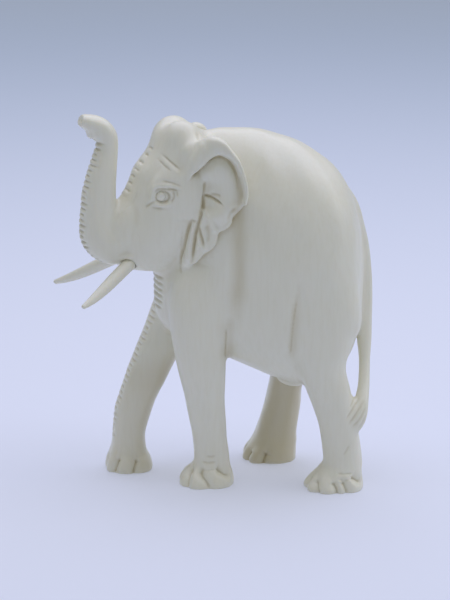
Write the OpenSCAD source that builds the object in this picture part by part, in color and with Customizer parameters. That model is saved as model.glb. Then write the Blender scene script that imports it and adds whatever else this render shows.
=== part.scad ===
// Carved elephant with raised trunk: one block of wood, two set-in tusks and two round eyes.
// The elephant faces -X, its left side is -Y, and all four soles stand on Z = 0.

/* [Body] */
// Height of the back above the ground
back_h = 121.5; // [118:0.5:124]
// Width of the barrel at its widest
barrel_w = 49; // [44:1:54]

/* [Stance] */
// Distance between the middles of the two hind feet, side to side
hind_track = 35; // [31:1:38]
// Distance between the middles of the two front feet, side to side
front_track = 18; // [17:0.5:21]

/* [Head] */
// How far the head turns towards the elephant's left
head_turn = 14; // [8:1:18]
// Distance between the twin domes of the skull, middle to middle
dome_gap = 10.5; // [8:0.5:12]
// Thickness of the ear flaps
ear_t = 4; // [3.5:0.5:5]

/* [Tusks] */
// Length of a tusk outside its socket
tusk_len = 25; // [18:1:28]
// Diameter of a tusk where it leaves the lip
tusk_d = 4.2; // [3.6:0.2:4.4]
// Diameter of the blunt tip
tusk_tip_d = 1.5; // [1:0.1:2]
// Diameter of the tenon
tenon_d = 3.1; // [2.6:0.1:3.2]
// Length of the tenon
tenon_len = 8; // [6:0.5:9]
// Gap all round the tenon in its socket
tenon_gap = 0.05; // [0.03:0.01:0.08]

/* [Eyes] */
// Diameter of the round eye
eye_d = 3.8; // [3:0.1:4]
// Diameter of the peg behind the eye
peg_d = 2; // [1.6:0.1:2.4]
// Length of the peg, from the middle of the eye
peg_len = 5; // [4:0.5:6]

/* [Hidden] */
wood = [0.91, 0.89, 0.82];
tusk_wood = [0.94, 0.93, 0.88];
$fn = 48;

sides = 24;          // points round each section of the body and legs
small_sides = 16;    // points round the trunk and tail
neck = [-8, 0, 0];   // the head turns about the upright line through this point
centre = [3.6, 1.7, 0]; // brings the middle of the whole outline over the origin

// Barrel, one row for each upright section: x, underside z, top z, half width as a share of barrel_w
barrel = [
    [-24.2, 61, 90, 0.1],
    [-21, 54, 103, 0.2],
    [-14, 48.5, back_h - 4.5, 0.28],
    [-5, 45.5, back_h, 0.355],
    [5, 41.3, back_h + 0.3, 0.425],
    [15, 37, back_h - 1, 0.475],
    [25, 34.4, back_h - 4.5, 0.495],
    [33, 35.5, back_h - 9.5, 0.485],
    [39, 40, back_h - 15.5, 0.44],
    [43, 46, back_h - 22.5, 0.36],
    [45.5, 55, back_h - 31.5, 0.24],
    [46.7, 66, back_h - 42, 0.08],
];
barrel_waist = 0.42; // height of the widest line, as a share of a section's height

// Legs, one row for each level section: z, middle x, middle y (left side), half length, half width
left_front = [
    [82, -6, 8.4, 7, 5],
    [73, -8.1, 9.8, 10.5, 7.3],
    [64, -9.4, 10.9, 10.6, 8.2],
    [55, -9.6, 11.4, 9.8, 8.3],
    [43, -8.9, 11.2, 8.4, 7.8],
    [30, -7.6, 10.2, 6.8, 6.9],
    [17, -6, 9.4, 5.9, 6.2],
    [8.5, -5.6, 9, 6.2, 6.4],
    [5.2, -6.4, 9.2, 8, 7.9],
    [2.2, -7.1, 9.3, 9.2, 9],
    [0, -7.1, 9.4, 8.8, 8.6],
];
right_front = [
    [78, -6, 11, 8, 5],
    [68, -10, 11, 9, 7],
    [59, -15.2, 10.8, 8.6, 7.8],
    [49, -19.5, 10.2, 8.4, 7.4],
    [40, -23.8, 9.6, 7.8, 7],
    [31, -27.8, 9.2, 7.2, 6.6],
    [22, -31.3, 9, 6.4, 6.2],
    [14, -33, 9, 5.9, 5.9],
    [9, -33.2, 9, 5.8, 5.9],
    [5.2, -33.4, 9, 7, 7],
    [2.2, -33.2, 9, 7.9, 7.9],
    [0, -33.2, 9, 7.3, 7.3],
];
left_hind = [
    [90, 31, 9.4, 6, 5],
    [79, 32, 12, 11, 10],
    [68, 32.6, 14, 12, 10],
    [58, 32.7, 15.6, 11.4, 9.4],
    [50, 32, 16.5, 10, 8.5],
    [42, 32, 17, 8.7, 7.6],
    [34, 34.3, 17.4, 7.9, 7],
    [28, 36, 17.5, 7, 6.6],
    [19.5, 37.9, 17.5, 6.5, 6.4],
    [9, 39, 17.5, 6.6, 6.6],
    [5.2, 37.4, 17.5, 8.5, 7.9],
    [2.2, 36, 17.5, 9.9, 8.9],
    [0, 36, 17.5, 9.4, 8.4],
];
right_hind = [
    [90, 31, 9.4, 6, 5],
    [79, 32, 12, 11, 10],
    [68, 32.2, 14, 12, 10],
    [58, 31.2, 15.6, 11.2, 9.4],
    [50, 29.5, 16.5, 9.8, 8.5],
    [40, 26.6, 17, 7.8, 7.5],
    [28, 22.9, 17.5, 6, 6.4],
    [20, 21.5, 17.5, 6.4, 6.4],
    [11, 19.4, 17.5, 7.2, 6.8],
    [5.8, 18.2, 17.5, 8.2, 7.5],
    [2.2, 16.8, 17.5, 9.1, 8.4],
    [0, 16.8, 17.5, 8.4, 7.8],
];

// Skull, before the head is turned, one row for each level section: z, front x, rear x, half width
skull = [
    [74, -31, -20, 4],
    [77, -38.5, -14, 8.5],
    [84, -42, -9, 11.5],
    [90, -41, -6, 13],
    [97, -37.6, -5, 13.8],
    [105, -33, -5, 13.8],
    [110, -30.8, -5, 13.2],
    [115, -26.6, -6, 12.4],
    [119, -25, -7, 11.4],
    [122, -24, -9, 9.5],
    [124, -22.5, -11, 7],
];
skull_taper = 0.28;  // how much narrower a section is in front than behind

// Trunk along its middle line: x, z, half thickness, half width
trunk = [
    [-33, 90, 10, 9],
    [-39, 86.5, 8.6, 8],
    [-43, 89.5, 7.2, 6.8],
    [-44, 95.5, 6.2, 6],
    [-43.8, 101, 5.5, 5.4],
    [-43, 107, 5.1, 5],
    [-42, 112.5, 4.4, 4.4],
    [-41.3, 117.5, 3.5, 4],
    [-41.7, 121, 3.7, 4.1],
    [-43.3, 123.5, 3.8, 4.2],
    [-46, 125.3, 3.2, 4],
    [-49.8, 126.9, 2, 2.8],
];

// Ear, one row for each level section: z, front x, rear x, how far out the front and the rear stand
ear = [
    [78.6, -19, -16.8, 14.4, 14.8],
    [81, -19.5, -12.6, 14.2, 16.4],
    [85, -19.3, -8.8, 14, 18],
    [89, -18.8, -6.6, 14, 19],
    [92.5, -18.4, -2.8, 14, 20],
    [97, -17.8, 0.8, 14, 21],
    [102, -17.4, 2.6, 14, 21.4],
    [108, -17.2, 1.9, 14, 21],
    [113.5, -16.2, 0.2, 13.4, 20],
    [117.5, -14.6, -2.4, 12.6, 18],
    [120.5, -12.4, -6.4, 12, 15],
];

// Tail, from the rump to the end of the tuft: x, y (left side), z, radius
tail = [
    [42, 0, 98, 1.4],
    [44.4, 0, 93, 1.9],
    [46.8, 0, 84, 2.1],
    [48, 0.8, 74, 2.1],
    [48.3, 2.4, 64, 2.1],
    [48.2, 5, 54, 2.1],
    [47.8, 8.4, 45, 2.1],
    [47.2, 12, 38.5, 2],
    [46.2, 15.4, 33.5, 2.3],
    [44.6, 18.6, 29, 3],
    [43, 20.4, 25, 3.2],
    [43, 21, 22, 2.2],
    [43.6, 21, 20.2, 0.8],
];

// Where a tusk and an eye meet the left of the face, before the head is turned
tusk_root = [-36, -6.7, 77.9];
tusk_dir = [-0.769, -0.489, -0.410];
eye_at = [-25.5, -11, 101.9];
eye_dir = [-0.5, -0.86, 0.05];

pocket_depth = 1.6;  // the lip closes round the tusk this deep
shoulder_gap = 0.3;  // space between the tusk's shoulder and the pocket
pocket_gap = 0.35;   // space between the tusk and the pocket's wall
drill_out = 8;       // how far the pocket's drill starts outside the face

// Point on a rounded square, power 2 being a circle
function round_pt(a, power) =
    let (c = cos(a), s = sin(a))
    [sign(c) * pow(abs(c), 2 / power), sign(s) * pow(abs(s), 2 / power)];

// Smooth curve through rows b and c, with their neighbours a and d
function between(a, b, c, d, t) =
    0.5 * (2 * b + (c - a) * t + (2 * a - 5 * b + 4 * c - d) * t * t + (3 * b - a - 3 * c + d) * t * t * t);

function refine(rows, steps) = let (last = len(rows) - 1) concat(
    [for (i = [0:last - 1]) for (k = [0:steps - 1])
        between(rows[max(i - 1, 0)], rows[i], rows[i + 1], rows[min(i + 2, last)], k / steps)],
    [rows[last]]);

// Closed skin over a list of sections that all have the same number of points
module skin(rings) {
    n = len(rings[0]);
    last = len(rings) - 1;
    points = [for (ring = rings) for (p = ring) p];
    walls = [for (i = [0:last - 1]) for (k = [0:n - 1]) let (m = (k + 1) % n)
        each [[i * n + k, i * n + m, i * n + n + k], [i * n + m, i * n + n + m, i * n + n + k]]];
    caps = [[for (k = [0:n - 1]) n - 1 - k], [for (k = [0:n - 1]) last * n + k]];
    polyhedron(points, concat(walls, caps), convexity = 6);
}

// Body with level sections, listed from the top down; sections are [z, x, y, half length, half width, taper]
module column(rows, count, power) {
    skin([for (r = rows) [for (k = [0:count - 1]) let (p = round_pt(360 * k / count, power))
        [r[1] + r[3] * p[0], r[2] + r[4] * p[1] * (1 + r[5] * p[0]), r[0]]]]);
}

module leg(rows, side, track) {
    shift = track / 2 - rows[len(rows) - 1][2];
    column([for (r = rows) [r[0], r[1], side * (r[2] + shift), r[3], r[4], 0]], sides, 2.2);
}

module torso() {
    skin([for (r = refine(barrel, 2)) let (mid = r[1] + barrel_waist * (r[2] - r[1]))
        [for (k = [0:sides - 1]) let (p = round_pt(360 * k / sides, 2.25))
            [r[0], -r[3] * barrel_w * p[0], mid + p[1] * (p[1] > 0 ? r[2] - mid : mid - r[1])]]]);
}

module skull_block() {
    rows = refine(skull, 2);
    last = len(rows) - 1;
    column([for (i = [0:last]) let (r = rows[last - i])
        [r[0], (r[1] + r[2]) / 2, 0, (r[2] - r[1]) / 2, r[3], skull_taper]], sides, 2.2);
    for (side = [-1, 1])
        translate([-15.6, side * dome_gap / 2, 118.8])
            scale([0.95, 0.92, 1.02]) sphere(7.2, $fn = 24);
}

module trunk_tube() {
    rows = refine(trunk, 2);
    last = len(rows) - 1;
    skin([for (i = [0:last])
        let (a = rows[max(i - 1, 0)], b = rows[min(i + 1, last)], r = rows[i])
        let (along = [b[0] - a[0], b[1] - a[1]], len_ab = norm(along))
        let (across = [-along[1], along[0]] / len_ab)
        [for (k = [0:small_sides - 1]) let (t = 360 * k / small_sides)
            [r[0] + across[0] * r[2] * cos(t), r[3] * sin(t), r[1] + across[1] * r[2] * cos(t)]]]);
}

module ear_flap() {
    rows = refine(ear, 1);
    last = len(rows) - 1;
    skin([for (i = [0:last]) let (r = rows[last - i])
        let (half = [r[2] - r[1], r[3] - r[4]] / 2, mid = [r[2] + r[1], -r[3] - r[4]] / 2)
        let (across = [-half[1], half[0]] / norm(half))
        [for (k = [0:small_sides - 1]) let (p = round_pt(360 * k / small_sides, 2.4))
            [mid[0] + half[0] * p[0] + across[0] * p[1] * ear_t / 2,
             mid[1] + half[1] * p[0] + across[1] * p[1] * ear_t / 2, r[0]]]]);
}

module tail_rope() {
    skin([for (r = refine(tail, 2)) [for (k = [0:11]) let (t = 30 * k)
        [r[0] + r[3] * cos(t), -r[1] + r[3] * sin(t), r[2]]]]);
}

// Turns the head's own shapes to where the neck carries them
module on_neck() {
    translate(neck) rotate([0, 0, head_turn]) translate(-neck) children();
}

// Puts +Z along dir at the point at
module aim(at, dir) {
    translate(at) rotate([0, acos(dir[2] / norm(dir)), atan2(dir[1], dir[0])]) children();
}

// Places a left-hand shape on side -1, or its mirror image on side 1
module on_side(side) {
    on_neck() mirror([0, side > 0 ? 1 : 0, 0]) children();
}

module tusk_drill() {
    aim(tusk_root, tusk_dir) {
        translate([0, 0, -tenon_len - shoulder_gap])
            cylinder(d = tenon_d + 2 * tenon_gap, h = tenon_len + shoulder_gap);
        translate([0, 0, -pocket_depth]) cylinder(d = tusk_d + 2 * pocket_gap, h = pocket_depth + drill_out);
    }
}

module eye_drill() {
    aim(eye_at, eye_dir) {
        sphere(d = eye_d);
        translate([0, 0, -peg_len]) cylinder(d = peg_d, h = peg_len);
    }
}

module carved_body() {
    color(wood) translate(centre) difference() {
        resize([0, 0, 0]) union() {
            torso();
            leg(left_front, -1, front_track);
            leg(right_front, 1, front_track);
            leg(left_hind, -1, hind_track);
            leg(right_hind, 1, hind_track);
            tail_rope();
            on_neck() {
                skull_block();
                trunk_tube();
                ear_flap();
                mirror([0, 1, 0]) ear_flap();
            }
        }
        for (side = [-1, 1]) {
            on_side(side) tusk_drill();
            on_side(side) eye_drill();
        }
    }
}

// Tenon, shoulder and a gently bellied taper to the blunt tip, turned about the tusk's axis
module tusk(side) {
    from = -pocket_depth + shoulder_gap;
    tip_r = tusk_tip_d / 2;
    grow = tusk_d / 2 - tip_r;
    taper = [for (k = [0:12]) let (s = k / 12)
        [tip_r + grow * (1 - pow(s, 2.5)), from + s * (tusk_len - tip_r - from)]];
    cap = [for (k = [1:6]) [tip_r * cos(15 * k), tusk_len - tip_r + tip_r * sin(15 * k)]];
    translate(centre) on_side(side) aim(tusk_root, tusk_dir) rotate_extrude()
        polygon(concat([[0, -tenon_len], [tenon_d / 2, -tenon_len], [tenon_d / 2, from]], taper, cap));
}

module left_tusk() { color(tusk_wood) tusk(-1); }
module right_tusk() { color(tusk_wood) tusk(1); }

module eye(side) {
    translate(centre) on_side(side) aim(eye_at, eye_dir) {
        sphere(d = eye_d);
        translate([0, 0, -peg_len]) cylinder(d = peg_d, h = peg_len);
    }
}

module left_eye() { color(wood) eye(-1); }
module right_eye() { color(wood) eye(1); }

carved_body();
left_tusk();
right_tusk();
left_eye();
right_eye();
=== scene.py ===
import bpy
import numpy as np
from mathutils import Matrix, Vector


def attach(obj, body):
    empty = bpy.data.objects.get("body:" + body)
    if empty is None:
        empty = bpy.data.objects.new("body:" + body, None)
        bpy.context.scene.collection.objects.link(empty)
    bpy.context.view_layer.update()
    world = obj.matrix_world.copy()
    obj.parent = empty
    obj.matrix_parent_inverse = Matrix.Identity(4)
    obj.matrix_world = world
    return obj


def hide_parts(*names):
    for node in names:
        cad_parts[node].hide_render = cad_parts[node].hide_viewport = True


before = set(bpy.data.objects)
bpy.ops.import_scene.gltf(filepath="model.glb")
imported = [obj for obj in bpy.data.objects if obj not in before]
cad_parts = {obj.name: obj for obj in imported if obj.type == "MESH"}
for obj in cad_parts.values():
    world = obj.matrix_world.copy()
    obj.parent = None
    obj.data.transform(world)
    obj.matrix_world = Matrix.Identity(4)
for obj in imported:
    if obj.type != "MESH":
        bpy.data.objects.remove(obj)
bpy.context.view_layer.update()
mm = 0.001
print("stage: frame loaded")

# All shapes below are in millimetres, before the figure is centred over the origin
figure = {
    "centre": (3.6, 1.7, 0.0),      # brings the middle of the outline over the origin
    "neck": (-8.0, 0.0, 0.0),       # the head turns about the upright line through here
    "headTurn": 14.0,               # degrees towards the elephant's left, which is -Y
    "voxel": 0.36,
    "trianglesKept": 186000,
}


def turned(points, degrees):
    # rotation about the neck's upright line
    c, s = np.cos(np.radians(degrees)), np.sin(np.radians(degrees))
    x, y = points[..., 0] - figure["neck"][0], points[..., 1] - figure["neck"][1]
    return np.stack([x * c - y * s + figure["neck"][0], x * s + y * c + figure["neck"][1], points[..., 2]], -1)


def onNeck(points):
    return turned(points, figure["headTurn"])


def offNeck(points):
    return turned(points, -figure["headTurn"])


def flowing(rows, count):
    # Catmull-Rom spline through the rows, read at evenly spaced places
    rows = np.array(rows, float)
    around = np.vstack([2 * rows[0] - rows[1], rows, 2 * rows[-1] - rows[-2]])
    t = np.linspace(0, len(rows) - 1, count)
    i = np.minimum(t.astype(int), len(rows) - 2)
    f = (t - i)[:, None]
    a, b, c, d = around[i], around[i + 1], around[i + 2], around[i + 3]
    return 0.5 * (2 * b + (c - a) * f + (2 * a - 5 * b + 4 * c - d) * f**2 + (3 * b - a - 3 * c + d) * f**3)


def roundedSquare(angle, power):
    # superellipse: power 2 is a circle, higher powers are squarer
    c, s = np.cos(angle), np.sin(angle)
    return np.sign(c) * np.abs(c) ** (2 / power), np.sign(s) * np.abs(s) ** (2 / power)


def fullTurn(sides):
    return np.linspace(0, 2 * np.pi, sides, endpoint=False)


def soft(low, high, value):
    # 0 below low, 1 above high, smooth between
    t = np.clip((value - low) / (high - low), 0, 1)
    return t * t * (3 - 2 * t)


def closedShell(rings):
    # sections joined by strips of triangles, each end closed by a fan about its middle
    count, sides = rings.shape[:2]
    i, k = np.meshgrid(np.arange(count - 1), np.arange(sides), indexing="ij")
    m = (k + 1) % sides
    a, b, c, d = i * sides + k, i * sides + m, (i + 1) * sides + m, (i + 1) * sides + k
    points = np.vstack([rings.reshape(-1, 3), rings[0].mean(0), rings[-1].mean(0)])
    k = np.arange(sides)
    m = (k + 1) % sides
    first, last = np.full(sides, count * sides), np.full(sides, count * sides + 1)
    end = (count - 1) * sides
    faces = np.vstack([np.stack([a, b, c], -1).reshape(-1, 3), np.stack([a, c, d], -1).reshape(-1, 3),
                       np.stack([m, k, first], -1), np.stack([end + k, end + m, last], -1)])
    p, q, r = points[faces].transpose(1, 0, 2)
    if np.einsum("ij,ij->", p - points[0], np.cross(q - points[0], r - points[0])) < 0:
        faces = faces[:, ::-1]
    return points, faces


def joined(shells):
    offsets = np.cumsum([0] + [len(points) for points, faces in shells[:-1]])
    return (np.vstack([points for points, faces in shells]),
            np.vstack([faces + offset for (points, faces), offset in zip(shells, offsets)]))


def meshOf(name, points, faces):
    mesh = bpy.data.meshes.new(name)
    mesh.vertices.add(len(points))
    mesh.vertices.foreach_set("co", np.ascontiguousarray(points, np.float32).ravel())
    mesh.loops.add(faces.size)
    mesh.loops.foreach_set("vertex_index", np.ascontiguousarray(faces, np.int32).ravel())
    mesh.polygons.add(len(faces))
    mesh.polygons.foreach_set("loop_start", np.arange(0, faces.size, faces.shape[1], dtype=np.int32))
    mesh.update(calc_edges=True)
    return mesh


def pieceOf(name, points, faces, smooth=True):
    mesh = meshOf(name, points, faces)
    mesh.polygons.foreach_set("use_smooth", np.full(len(mesh.polygons), smooth))
    piece = bpy.data.objects.new(name, mesh)
    bpy.context.scene.collection.objects.link(piece)
    return piece


# Barrel: upright sections carried from chest to rump
barrel = {
    "halfWidth": 24.2,
    "waist": 0.4,                   # height of the widest line as a share of a section
    "roundAbove": 2.2, "squareBelow": 3.4,
    # x, underside z, top z, share of half width
    "rows": [(-24.4, 62, 88, 0.14), (-22.8, 57, 97, 0.32), (-19, 52, 109, 0.46), (-13, 48.5, 118, 0.58),
             (-5, 45.5, 121.6, 0.71), (5, 41.6, 121.9, 0.86), (10, 39.4, 121.6, 0.91), (15, 37.2, 120.6, 0.96),
             (25, 34.3, 117, 1.0), (33, 35.5, 112, 0.99), (38.5, 40, 106.8, 0.92), (42.5, 45.5, 100.2, 0.78),
             (45, 53, 92.5, 0.58), (46.6, 61, 84, 0.3), (47.0, 67, 77, 0.12)],
}


def barrelShell():
    rows = flowing(barrel["rows"], 110)
    angle = fullTurn(120)
    across, up = roundedSquare(angle, barrel["roundAbove"])
    acrossLow, upLow = roundedSquare(angle, barrel["squareBelow"])
    across, up = np.where(up > 0, across, acrossLow), np.where(up > 0, up, upLow)
    x, low, high, share = [column[:, None] for column in rows.T]
    middle = low + barrel["waist"] * (high - low)
    z = middle + up * np.where(up > 0, high - middle, middle - low)
    y = share * barrel["halfWidth"] * across
    return closedShell(np.stack([x + 0 * y, y, z], -1))


# Legs: level sections carried down to the sole
legs = {
    "squareness": 2.5,
    # z, middle x, middle y, half length, half width
    "leftFront": [(84, -6, -8, 7, 5), (74, -8, -9.6, 10.5, 7.2), (64, -9.4, -10.9, 10.6, 8.2),
                  (55, -9.6, -11.4, 9.8, 8.3), (43, -8.9, -11.2, 8.4, 7.8), (30, -7.6, -10.2, 6.8, 6.9),
                  (17, -6.0, -9.4, 5.9, 6.2), (10, -5.3, -9, 5.9, 6.2), (6.8, -5.5, -9.1, 6.5, 6.8),
                  (4, -6.5, -9.3, 8.3, 8.2), (1.5, -7.1, -9.4, 9.3, 9.2), (0, -7.2, -9.4, 9.3, 9.2)],
    "rightFront": [(84, -6, 8, 7, 5), (74, -8, 9.6, 10.5, 7.2), (66, -11.5, 10.6, 10, 8), (59, -15.2, 11, 8.9, 8),
                   (49, -19.5, 10.6, 8.4, 7.6), (40, -23.8, 9.8, 7.8, 7.1), (31, -27.8, 9.3, 7.2, 6.6),
                   (22, -31.3, 9, 6.5, 6.2), (14, -33, 9, 5.9, 5.9), (9.5, -33.2, 9, 5.9, 6.0),
                   (6.4, -33.4, 9, 6.6, 6.7), (4, -33.3, 9, 7.6, 7.8), (1.5, -33.2, 9, 8.2, 8.4),
                   (0, -33.2, 9, 8.1, 8.3)],
    "leftHind": [(92, 31, -9, 6, 5), (80, 32, -11.8, 11, 10), (68, 32.6, -14.0, 12, 10), (58, 33.1, -15.6, 11.9, 9.4),
                 (50.5, 31.9, -16.5, 10.3, 8.5), (43, 31.4, -17.0, 8.4, 7.6), (35, 33.8, -17.4, 7.6, 7),
                 (28, 36, -17.5, 7, 6.6), (19.5, 37.9, -17.5, 6.5, 6.4), (10, 39, -17.5, 6.6, 6.6),
                 (6.8, 38.2, -17.6, 7.4, 7.2), (4, 36.9, -17.7, 8.9, 8.3), (1.5, 36.0, -17.8, 10, 9.1),
                 (0, 36, -17.8, 9.9, 9.0)],
    "rightHind": [(92, 31, 9, 6, 5), (80, 32, 11.8, 11, 10), (68, 32.2, 14.0, 12, 10), (58, 31.2, 15.6, 11.2, 9.4),
                  (50, 29.5, 16.5, 9.8, 8.5), (40, 26.6, 17.0, 7.8, 7.4), (28, 22.9, 17.5, 6, 6.4),
                  (20, 21.5, 17.5, 6.4, 6.4), (11, 19.5, 17.5, 7.1, 6.7), (7, 18.6, 17.5, 8.0, 7.4),
                  (4, 17.4, 17.6, 8.9, 8.4), (1.5, 16.8, 17.6, 9.4, 9.0), (0, 16.8, 17.6, 9.3, 8.9)],
}


def legShell(name):
    rows = flowing(legs[name], 120)
    c, s = roundedSquare(fullTurn(72), legs["squareness"])
    z, x, y, rx, ry = [column[:, None] for column in rows.T]
    return closedShell(np.stack([x + rx * c, y + ry * s, np.maximum(z, 0) + 0 * c], -1))


# Skull: level sections from jaw to crown, narrower in front, with two domes on top
skull = {
    "squareness": 2.3,
    # z, front x, rear x, half width, taper towards the front
    "rows": [(74.4, -30, -19, 4, 0.1), (76, -35.5, -16, 8, 0.1), (79, -40, -13, 10, 0.12), (84, -42, -8, 12, 0.2),
             (90, -41, -5, 13.4, 0.3), (97, -37.8, -4, 14.2, 0.34), (105, -33.4, -4, 14.4, 0.32),
             (110, -31.2, -5, 14, 0.3), (115, -26.8, -5.5, 13.4, 0.2), (118, -25.3, -6.5, 12.6, 0.12),
             (121, -24.4, -8, 11, 0.1), (123.5, -22.5, -11, 8, 0.1)],
    "domes": {"centre": (-16.5, 5.2, 118.9), "radii": (7.3, 6.6, 7.3)},
    "shoulders": {"centre": (-14.6, 10.0, 114.5), "radii": (5.6, 6.0, 6.6)},     # from each dome to the ear's top
    "bridge": {"centre": (-15.0, 0.0, 117.0), "radii": (7.5, 7.0, 7.2)},
}


def skullShell():
    rows = flowing(skull["rows"], 110)
    c, s = roundedSquare(fullTurn(96), skull["squareness"])
    z, front, rear, half, taper = [column[:, None] for column in rows.T]
    x = (front + rear) / 2 + (rear - front) / 2 * c
    return closedShell(np.stack([x, half * s * (1 + taper * c), z + 0 * c], -1))


def eggShell(centre, radii):
    # latitude and longitude on an ellipsoid
    lift = np.linspace(-np.pi / 2, np.pi / 2, 34)[1:-1, None]
    angle = fullTurn(48)[None, :]
    unit = np.stack([np.cos(lift) * np.cos(angle), np.cos(lift) * np.sin(angle), np.sin(lift) + 0 * angle], -1)
    return closedShell(np.array(centre) + np.array(radii) * unit)


# Trunk: oval sections carried along its middle line
trunk = {
    # x, z, half thickness, half width
    "rows": [(-30, 92, 10, 9), (-35, 88, 9.8, 8.6), (-39.4, 86, 8.9, 7.9), (-42.6, 87.6, 8.0, 7.2),
             (-44.0, 91.5, 6.9, 6.6), (-44.2, 96, 6.1, 6.0), (-44.1, 101, 5.7, 5.6), (-43.5, 106, 5.3, 5.2),
             (-42.5, 111, 4.6, 4.8), (-41.5, 115.5, 3.9, 4.3), (-41.1, 118.6, 3.7, 4.2), (-41.6, 121.2, 3.9, 4.3),
             (-43.3, 123.4, 3.8, 4.3), (-45.6, 125.1, 3.3, 4.1), (-47.8, 126.2, 2.7, 3.7), (-49.4, 126.8, 2.2, 3.2),
             (-50.1, 127.1, 1.7, 2.7)],
    "squareness": 2.3,
}


def trunkLine(count):
    rows = flowing(trunk["rows"], count)
    along = np.gradient(rows[:, :2], axis=0)
    along /= np.linalg.norm(along, axis=1)[:, None]
    return rows, along


def trunkShell():
    rows, along = trunkLine(120)
    c, s = roundedSquare(fullTurn(64), trunk["squareness"])
    x, z, thick, wide = [column[:, None] for column in rows.T]
    lean, rise = along[:, :1], along[:, 1:]
    return closedShell(np.stack([x - rise * thick * c, wide * s + 0 * x, z + lean * thick * c], -1))


# Ear: a disc in polar form; its height over the head is a rolled rim round a hollow with a hanging lobe
ear = {
    "middle": (-9.5, 101.0),        # x, z of the disc's pole
    # outline, x and z, from the top round the back to the front
    "outline": [(-13.9, 120.4), (-10.9, 122.2), (-8.6, 122.3), (-6.2, 121), (-4.4, 118.5), (-2.1, 115.1),
                (-0.8, 111.3), (0.1, 107), (0.4, 103.5), (-0.1, 100.4), (-1.4, 98.2), (-2.9, 96.6),
                (-4.1, 95.0), (-4.2, 93.4), (-5.0, 91.8), (-6.7, 90.6), (-8.2, 89.4), (-8.6, 87.4),
                (-9.6, 85.2), (-10.8, 83.6), (-12.3, 82.5), (-13.5, 80.8), (-15.2, 78.8), (-16.9, 77.7),
                (-18.6, 77.7), (-18.9, 81.2),
                (-18.4, 86.6), (-18, 91), (-18, 95), (-18.6, 101), (-19, 108), (-17.5, 114.5)],
    # where the rim rolls over into the hollow; it meets the outline below the hollow
    "fold": [(-18.2, 106.8), (-16.2, 108.9), (-14.4, 110.8), (-12.2, 113.2), (-10.3, 115.2), (-8, 116.3),
             (-5.4, 115.2), (-3.6, 113.0), (-2.2, 109.6), (-1.4, 105.8), (-1.2, 102.8), (-1.6, 100.6)],
    "near": {"side": -1, "slope": 0.58, "out": 13.9, "shift": (0.0, 0.0)},
    "far": {"side": 1, "slope": 0.28, "out": 14.0, "shift": (4.1, -1.1)},
    "rimHeight": 1.5, "foldDepth": 1.9, "foldReach": 2.4, "hollow": 0.55, "thickness": 4.4,
    "behindCheek": {"x": -11.2, "reach": 3.0, "depth": 2.3},
    "lobe": {"middle": (-8.8, 96.8), "radii": (3.2, 3.6), "height": 1.6},
}


def polar(points, pole):
    away = np.array(points, float) - pole
    return np.arctan2(away[:, 1], away[:, 0]), np.hypot(away[:, 0], away[:, 1])


def radiusAt(angle, knotAngle, knotRadius):
    order = np.argsort(knotAngle)
    return np.interp(angle, knotAngle[order], knotRadius[order], period=2 * np.pi)


def earHeight(x, z, share, radius, foldRadius, form):
    # how far the ear's outer face stands from the middle plane of the head
    out = form["out"] + form["slope"] * np.maximum(x + 20, 0)
    here = share * radius
    inRim = np.clip((here - foldRadius) / np.maximum(radius - foldRadius, 0.05), 0, 1)
    rim = ear["rimHeight"] * np.sqrt(np.clip(4 * inRim * (1 - inRim), 0, 1)) - 0.5 * inRim**3
    inside = np.maximum(foldRadius - here, 0)
    deeper = 0.3 + 0.7 * soft(99.5, 107, z)                   # the fold shallows out towards its lower end
    dip = ear["hollow"] + ear["foldDepth"] * deeper * np.exp(-((inside / ear["foldReach"]) ** 2))
    hasRim = soft(0.2, 1.2, radius - foldRadius)
    lobe, gully = ear["lobe"], ear["behindCheek"]
    sunk = gully["depth"] * np.exp(-(((x - gully["x"]) / gully["reach"]) ** 2))
    out = out - sunk * soft(95, 99, z) * soft(111, 104, z)
    fromLobe = ((x - lobe["middle"][0]) / lobe["radii"][0]) ** 2 + ((z - lobe["middle"][1]) / lobe["radii"][1]) ** 2
    swell = np.exp(-fromLobe)
    inner = -dip * hasRim - (1 - hasRim) * (0.5 + 0.5 * share**4) + lobe["height"] * swell
    return out + np.where(here > foldRadius, rim * hasRim + inner * (1 - hasRim), inner)


def earShell(form):
    angle = fullTurn(240)
    pole = np.array(ear["middle"])
    outline = flowing(ear["outline"] + ear["outline"][:1], 400)
    radius = radiusAt(angle, *polar(outline, pole))
    foldAngle, foldReach = polar(flowing(ear["fold"], 80), pole)
    first, last = foldAngle.max(), foldAngle.min()
    fold = np.minimum(radiusAt(angle, foldAngle, foldReach), radius)
    turn = np.where(angle > np.pi, angle - 2 * np.pi, angle)
    off = np.maximum(np.maximum(turn - first, last - turn), 0)
    fold = fold + (radius - fold) * soft(0.0, 0.25, off)      # the rim fades away past both ends of the fold
    rounding = 1 - 0.06 * np.cos(np.linspace(0, np.pi / 2, 9))[1:]
    share = np.concatenate([np.linspace(0.02, 0.94, 46), rounding])[:, None]
    x = pole[0] + share * radius * np.cos(angle)
    z = pole[1] + share * radius * np.sin(angle)
    outer = earHeight(x, z, share, radius, fold, form)
    edge = np.sqrt(np.clip(1 - ((share - 0.94) / 0.06).clip(0, 1) ** 2, 0, 1))
    inner = form["out"] + form["slope"] * np.maximum(x + 20, 0) - ear["thickness"]
    middle = (outer + inner) / 2
    outer = middle + (outer - middle) * edge
    inner = middle + (inner - middle) * edge
    x, z = x + form["shift"][0], z + form["shift"][1]
    front = np.stack([x, form["side"] * outer, z], -1)
    back = np.stack([x, form["side"] * inner, z], -1)
    return closedShell(np.concatenate([front, back[::-1][1:]]))


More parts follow.
